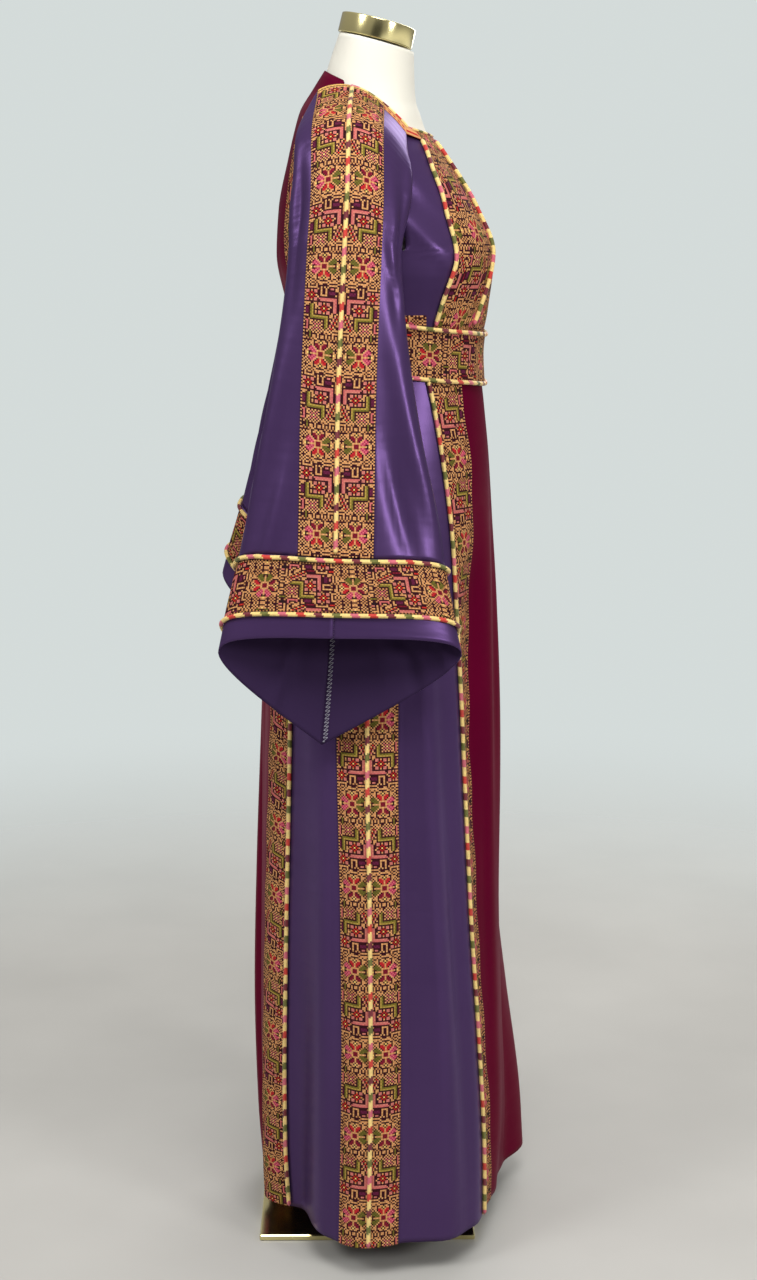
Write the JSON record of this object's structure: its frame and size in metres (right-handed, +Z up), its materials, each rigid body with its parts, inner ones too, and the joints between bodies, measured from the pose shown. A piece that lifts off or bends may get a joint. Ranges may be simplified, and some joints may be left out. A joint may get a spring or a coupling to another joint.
{
  "type": "palestinian thobe dress on a dress form",
  "caption": "Floor-length embroidered dress with wide open sleeves and a belt, worn by a limbless dress form on a pole and square base plate.",
  "frame": {"origin": "middle of the underside of the base plate, on the surface it stands on", "axes": "+Z up, -Y the front of the dress, +X the wearer's left"},
  "size_m": [0.5804, 0.434, 1.6152],
  "materials": {
    "purple_satin": "heavy purple satin crepe with a soft sheen",
    "maroon_crepe": "deep maroon satin crepe with a soft sheen",
    "embroidery": "dense cross-stitch in golden beige, pink, red and olive on dark maroon",
    "piping": "corded piping in blocks of gold, red, pink, olive and maroon thread",
    "form_linen": "off-white linen stretched over the form",
    "polished_gold": "mirror-polished gold-coloured metal"
  },
  "bodies": {
    "root": {"back_band_left": "embroidery", "back_band_piping_left": "piping", "back_band_piping_right": "piping", "back_band_right": "embroidery", "back_centre": "maroon_crepe", "belt": "embroidery", "belt_piping_lower": "piping", "belt_piping_upper": "piping", "bodice_side_front_left": "purple_satin", "bodice_side_front_right": "purple_satin", "chest_centre": "embroidery", "chest_piping_inner_left": "piping", "chest_piping_inner_right": "piping", "chest_piping_outer_left": "piping", "chest_piping_outer_right": "piping", "chest_side_left": "embroidery", "chest_side_right": "embroidery", "cuff_band_left": "embroidery", "cuff_band_right": "embroidery", "cuff_piping_lower_left": "piping", "cuff_piping_lower_right": "piping", "cuff_piping_upper_left": "piping", "cuff_piping_upper_right": "piping", "form_base_plate": "polished_gold", "form_neck_cap": "polished_gold", "form_pole": "polished_gold", "form_torso": "form_linen", "front_band_piping_left": "piping", "front_band_piping_right": "piping", "neck_edging": "piping", "side_back_left": "purple_satin", "side_back_right": "purple_satin", "side_piping_left": "piping", "side_piping_right": "piping", "skirt_centre_front": "maroon_crepe", "skirt_front_band_left": "embroidery", "skirt_front_band_right": "embroidery", "skirt_side_band_back_left": "embroidery", "skirt_side_band_back_right": "embroidery", "skirt_side_band_front_left": "embroidery", "skirt_side_band_front_right": "embroidery", "skirt_side_front_left": "purple_satin", "skirt_side_front_right": "purple_satin", "sleeve_back_left": "purple_satin", "sleeve_back_right": "purple_satin", "sleeve_band_back_left": "embroidery", "sleeve_band_back_right": "embroidery", "sleeve_band_front_left": "embroidery", "sleeve_band_front_right": "embroidery", "sleeve_front_left": "purple_satin", "sleeve_front_right": "purple_satin", "sleeve_hem_back_left": "purple_satin", "sleeve_hem_back_right": "purple_satin", "sleeve_hem_front_left": "purple_satin", "sleeve_hem_front_right": "purple_satin", "sleeve_piping_left": "piping", "sleeve_piping_right": "piping"}
  },
  "joints": []
}
